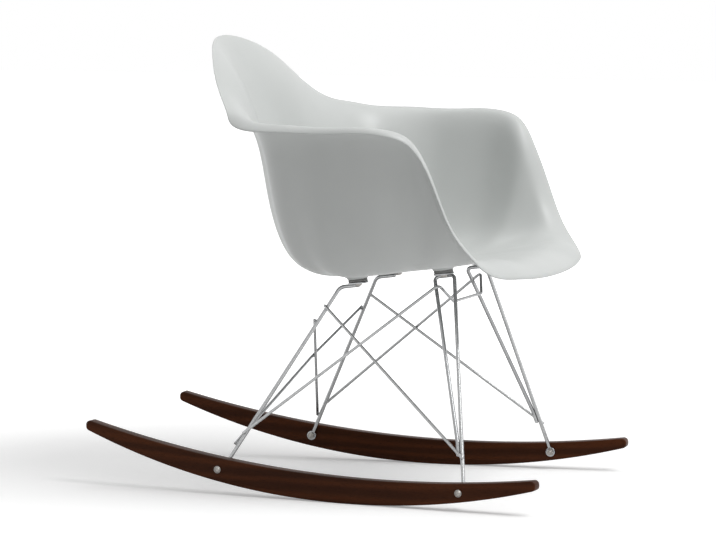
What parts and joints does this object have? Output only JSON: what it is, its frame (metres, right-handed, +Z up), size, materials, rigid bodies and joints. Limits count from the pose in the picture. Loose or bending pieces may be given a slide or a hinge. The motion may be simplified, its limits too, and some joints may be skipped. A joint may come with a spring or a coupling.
{
  "type": "rocking chair",
  "caption": "Rocking armchair: moulded bucket shell with a rolled rim, on a welded wire cradle that stands on curved wooden rockers.",
  "frame": {"origin": "on the floor, on the plane of symmetry, halfway along the rockers", "axes": "+Z up, the sitter faces -Y, +X is the sitter's left"},
  "size_m": [0.6296, 0.7992, 0.7412],
  "materials": {
    "shell": "light cool grey moulding, fine satin texture",
    "rubber": "dull black rubber",
    "wire": "bright plated round wire, plates and lugs",
    "fastener": "zinc plated screws, bolts, washers and nuts",
    "insert": "turned brass",
    "rocker": "dark brown stained hardwood, satin lacquer"
  },
  "bodies": {
    "root": {"cross_brace_bowed": "wire", "cross_brace_straight": "wire", "falling_brace_left": "wire", "falling_brace_right": "wire", "foot_lug_front_left": "wire", "foot_lug_front_right": "wire", "foot_lug_rear_left": "wire", "foot_lug_rear_right": "wire", "front_leg_left": "wire", "front_leg_right": "wire", "front_tie": "wire", "mount_pad_front_left": "rubber", "mount_pad_front_right": "rubber", "mount_pad_rear_left": "rubber", "mount_pad_rear_right": "rubber", "mount_plate_front_left": "wire", "mount_plate_front_right": "wire", "mount_plate_rear_left": "wire", "mount_plate_rear_right": "wire", "rear_leg_left": "wire", "rear_leg_right": "wire", "rocker_bolts": "fastener", "rocker_left": "rocker", "rocker_nuts": "fastener", "rocker_right": "rocker", "rocker_washers": "fastener", "seat_shell": "shell", "shell_inserts": "insert", "shell_screws": "fastener", "stretcher_left": "wire", "stretcher_right": "wire"}
  },
  "joints": []
}
